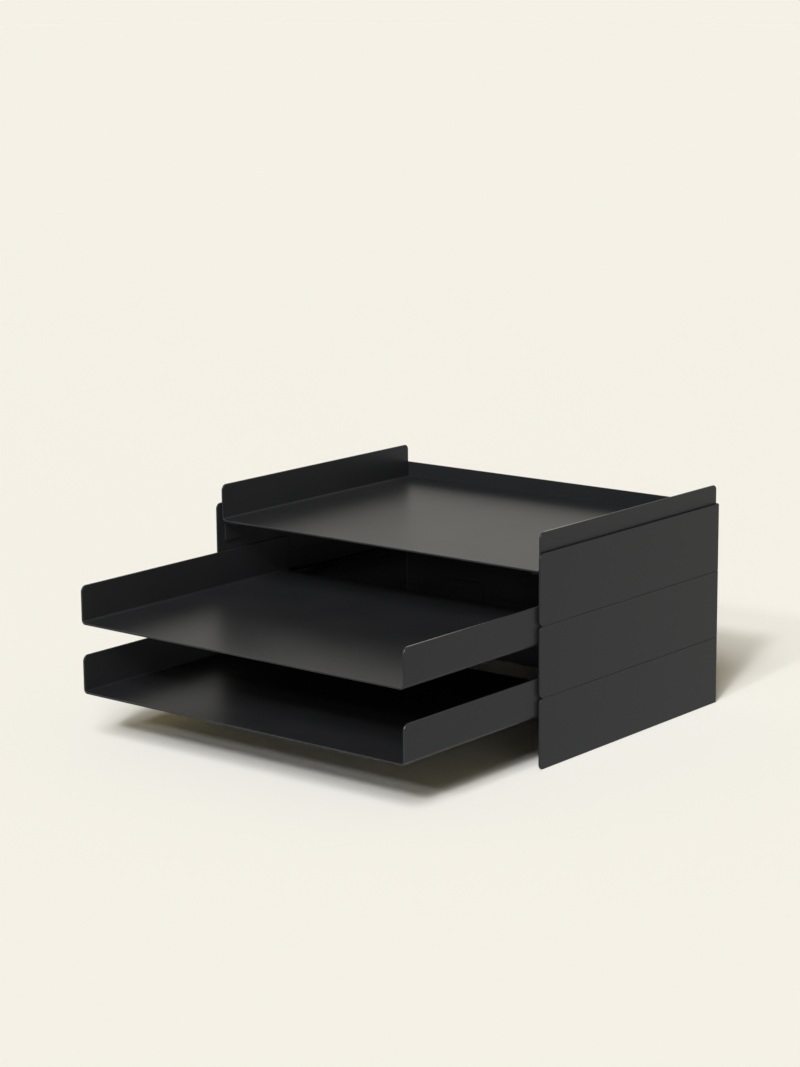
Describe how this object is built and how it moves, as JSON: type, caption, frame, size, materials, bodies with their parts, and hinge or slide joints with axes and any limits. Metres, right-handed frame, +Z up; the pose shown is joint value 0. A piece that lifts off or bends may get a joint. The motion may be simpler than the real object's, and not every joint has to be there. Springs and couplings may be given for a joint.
{
  "type": "desktop storage box",
  "caption": "Stacked sheet-steel desk organizer: open U-shaped frames carry wide shallow trays with low side flanges, which slide out to the front on hidden runners.",
  "frame": {"origin": "middle of the frames' footprint, on the desk", "axes": "+Z up, -Y out of the open front where the trays are drawn, +X to the right seen from the front"},
  "size_m": [0.32, 0.3929, 0.177],
  "materials": {
    "frame_coat": "fine black powder coat, satin",
    "tray_coat": "fine black powder coat, satin",
    "runner_coat": "fine black powder coat, satin",
    "joiner_coat": "fine black powder coat, satin",
    "glide_plastic": "dark low-friction plastic"
  },
  "bodies": {
    "carcass": {"bottom_frame": "frame_coat", "middle_frame": "frame_coat", "top_frame": "frame_coat", "bottom_left_runner": "runner_coat", "bottom_right_runner": "runner_coat", "middle_left_runner": "runner_coat", "middle_right_runner": "runner_coat", "top_left_runner": "runner_coat", "top_right_runner": "runner_coat", "bottom_left_glide_strip": "glide_plastic", "bottom_right_glide_strip": "glide_plastic", "middle_left_glide_strip": "glide_plastic", "middle_right_glide_strip": "glide_plastic", "top_left_glide_strip": "glide_plastic", "top_right_glide_strip": "glide_plastic", "lower_left_joiner": "joiner_coat", "lower_right_joiner": "joiner_coat", "upper_left_joiner": "joiner_coat", "upper_right_joiner": "joiner_coat"},
    "top_tray": {"top_tray": "tray_coat"},
    "middle_tray": {"middle_tray": "tray_coat"},
    "bottom_tray": {"bottom_tray": "tray_coat"}
  },
  "joints": [
    {"name": "top_tray_slide", "type": "slide", "parent": "carcass", "child": "top_tray", "axis": [0, -1, 0], "range_m": [0, 0.157]},
    {"name": "middle_tray_slide", "type": "slide", "parent": "carcass", "child": "middle_tray", "axis": [0, -1, 0], "range_m": [-0.157, 0]},
    {"name": "bottom_tray_slide", "type": "slide", "parent": "carcass", "child": "bottom_tray", "axis": [0, -1, 0], "range_m": [-0.157, 0]}
  ]
}
